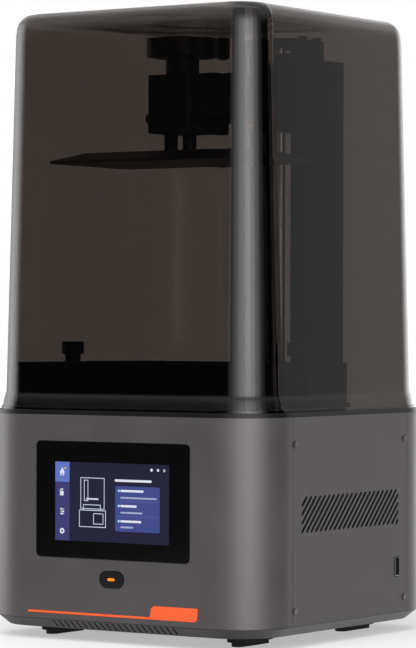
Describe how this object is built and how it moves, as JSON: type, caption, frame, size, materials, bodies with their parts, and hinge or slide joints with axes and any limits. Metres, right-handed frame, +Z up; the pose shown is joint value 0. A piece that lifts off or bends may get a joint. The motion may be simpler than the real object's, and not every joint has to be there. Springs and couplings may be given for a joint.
{
  "type": "resin printer",
  "caption": "Desktop resin 3-D printer: sheet-steel base with touch screen, vat on an exposure panel, screw-driven build platform on a rear column, tinted lift-off hood.",
  "frame": {"origin": "centre of the overall box at the underside of the rubber feet", "axes": "+Z up, the platform travels along it; the touch screen faces -Y; +X is to the right seen from the front"},
  "size_m": [0.2368, 0.2396, 0.4342],
  "materials": {
    "skin_paint": "satin powder coat, fine metallic grain, dark grey",
    "dark_paint": "satin dark grey",
    "black_metal": "black anodised",
    "grey_metal": "dark anodised, satin",
    "platform_metal": "grey anodised, engraved fine grid on the underside",
    "bare_aluminium": "bare extruded",
    "plated_steel": "zinc plated sheet",
    "screw_steel": "blackened",
    "bright_steel": "ground and polished",
    "nut_brass": "machined",
    "foot_rubber": "matte black",
    "black_plastic": "moulded",
    "gloss_black": "glossy",
    "screen_black": "black-backed cover glass",
    "display": "display panel",
    "orange_trim": "orange film",
    "orange_light": "translucent amber",
    "board_green": "solder mask",
    "board_white": "white solder mask",
    "clear_lens": "moulded lens sheet",
    "lcd_panel": "monochrome exposure panel",
    "film_clear": "stretched release film",
    "hood_tint": "smoke-tinted clear plastic, glossy"
  },
  "bodies": {
    "base": {"base_tray": "dark_paint", "rubber_feet": "foot_rubber", "foot_screws": "plated_steel", "front_skin": "skin_paint", "rear_skin": "skin_paint", "side_panel_left": "skin_paint", "side_panel_right": "skin_paint", "frame_posts": "plated_steel", "side_panel_screws": "screw_steel", "top_plate": "black_metal", "screen_glass": "screen_black", "screen_module": "display", "screen_bracket": "plated_steel", "screen_screws": "plated_steel", "button_board": "board_green", "button_standoffs": "plated_steel", "trim_stripe": "orange_trim", "usb_socket": "plated_steel", "usb_board": "board_green", "power_inlet": "black_plastic", "mainboard": "board_green", "chip_heatsink": "bare_aluminium", "board_standoffs": "nut_brass", "wifi_antenna": "board_green", "rear_fan_frame": "black_plastic", "light_box": "black_plastic", "light_box_screws": "plated_steel", "lens_plate": "clear_lens", "led_board": "board_white", "led_heatsink": "bare_aluminium", "led_fan_frame": "black_plastic", "lcd_mask": "lcd_panel", "vat_frame": "grey_metal", "vat_film": "film_clear", "film_ring": "plated_steel", "film_screws": "plated_steel", "column_post_left": "grey_metal", "column_post_right": "grey_metal", "column_foot": "grey_metal", "column_cap": "grey_metal", "cap_screws": "screw_steel", "guide_rods": "bright_steel", "stepper_motor": "dark_paint"},
    "carriage": {"slider_block": "grey_metal", "carriage_plate": "grey_metal", "platform_arm": "black_metal", "lead_nut": "nut_brass", "clamp_block": "black_metal", "platform_bracket": "grey_metal", "clamp_screws": "screw_steel", "build_platform": "platform_metal"},
    "hood": {"hood": "hood_tint"},
    "screw": {"lead_screw": "bright_steel"},
    "knob": {"release_knob": "black_metal"},
    "left_thumbscrew": {"thumbscrew_left": "black_metal"},
    "right_thumbscrew": {"thumbscrew_right": "black_metal"},
    "button": {"power_button": "gloss_black", "button_light_bar": "orange_light"},
    "rear_rotor": {"rear_fan_rotor": "black_plastic"},
    "led_rotor": {"led_fan_rotor": "black_plastic"}
  },
  "joints": [
    {"name": "hood_lift", "type": "slide", "parent": "base", "child": "hood", "axis": [0, 0, 1], "range_m": [0, 0.3]},
    {"name": "platform_lift", "type": "slide", "parent": "base", "child": "carriage", "axis": [0, 0, 1], "range_m": [-0.1688, 0]},
    {"name": "screw_spin", "type": "hinge", "parent": "base", "child": "screw", "pos_m": [0, 0.048, 0.2582], "axis": [0, 0, 1], "range_deg": [-5, 15200]},
    {"name": "knob_turn", "type": "hinge", "parent": "carriage", "child": "knob", "pos_m": [0, -0.0344, 0.4108], "axis": [0, 0, 1], "range_deg": [-90, 1080]},
    {"name": "left_thumbscrew_turn", "type": "hinge", "parent": "base", "child": "left_thumbscrew", "pos_m": [-0.0948, -0.0344, 0.2002], "axis": [0, 0, 1], "range_deg": [-90, 1080]},
    {"name": "right_thumbscrew_turn", "type": "hinge", "parent": "base", "child": "right_thumbscrew", "pos_m": [0.0948, -0.0344, 0.2002], "axis": [0, 0, 1], "range_deg": [-90, 1080]},
    {"name": "button_press", "type": "slide", "parent": "base", "child": "button", "axis": [0, 1, 0], "range_m": [0, 0.001], "stiffness_N_per_m": 1500, "springref_m": -0.0004},
    {"name": "rear_fan_spin", "type": "hinge", "parent": "base", "child": "rear_rotor", "pos_m": [0, 0.11, 0.092], "axis": [0, 1, 0], "continuous": true},
    {"name": "led_fan_spin", "type": "hinge", "parent": "base", "child": "led_rotor", "pos_m": [0, -0.0344, 0.03], "axis": [0, 0, 1], "continuous": true}
  ],
  "couplings": [
    {"joint": "screw_spin", "follows": "platform_lift", "rad_per_m": -1570.8}
  ]
}
